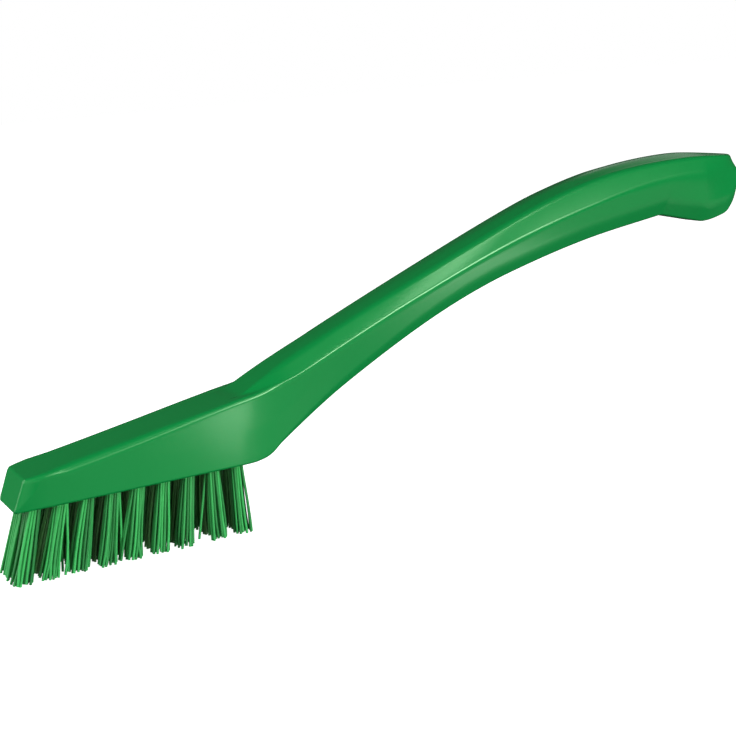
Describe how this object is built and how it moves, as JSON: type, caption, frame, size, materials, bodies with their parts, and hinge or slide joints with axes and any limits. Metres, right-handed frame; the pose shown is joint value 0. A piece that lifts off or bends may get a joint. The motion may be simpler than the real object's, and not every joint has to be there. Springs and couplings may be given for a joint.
{
  "type": "hand scrub brush",
  "caption": "One-piece moulded scrub brush with a wedge-shaped block, a long bent faceted handle and short stiff bristle tufts in three rows.",
  "frame": {"origin": "on the plane of the bristle tips, under the middle of the whole length and width", "axes": "+X from the nose to the end of the handle, +Z from the bristle tips up through the block, +Y across the brush to the left of someone looking from the nose to the handle"},
  "size_m": [0.2062, 0.017, 0.0741],
  "materials": {
    "moulding": "green injection-moulded plastic, semi-gloss",
    "filament": "green extruded plastic filament, slightly brighter than the moulding",
    "anchor": "flat steel strip, inside the holes"
  },
  "bodies": {
    "root": {"brush_body": "moulding", "tuft_a1": "filament", "tuft_a2": "filament", "tuft_a3": "filament", "tuft_a4": "filament", "tuft_a5": "filament", "tuft_a6": "filament", "tuft_a7": "filament", "tuft_a8": "filament", "tuft_a9": "filament", "tuft_b1": "filament", "tuft_b2": "filament", "tuft_b3": "filament", "tuft_b4": "filament", "tuft_b5": "filament", "tuft_b6": "filament", "tuft_b7": "filament", "tuft_b8": "filament", "tuft_b9": "filament", "tuft_c1": "filament", "tuft_c2": "filament", "tuft_c3": "filament", "tuft_c4": "filament", "tuft_c5": "filament", "tuft_c6": "filament", "tuft_c7": "filament", "tuft_c8": "filament", "tuft_c9": "filament", "anchor_a1": "anchor", "anchor_a2": "anchor", "anchor_a3": "anchor", "anchor_a4": "anchor", "anchor_a5": "anchor", "anchor_a6": "anchor", "anchor_a7": "anchor", "anchor_a8": "anchor", "anchor_a9": "anchor", "anchor_b1": "anchor", "anchor_b2": "anchor", "anchor_b3": "anchor", "anchor_b4": "anchor", "anchor_b5": "anchor", "anchor_b6": "anchor", "anchor_b7": "anchor", "anchor_b8": "anchor", "anchor_b9": "anchor", "anchor_c1": "anchor", "anchor_c2": "anchor", "anchor_c3": "anchor", "anchor_c4": "anchor", "anchor_c5": "anchor", "anchor_c6": "anchor", "anchor_c7": "anchor", "anchor_c8": "anchor", "anchor_c9": "anchor"}
  },
  "joints": []
}
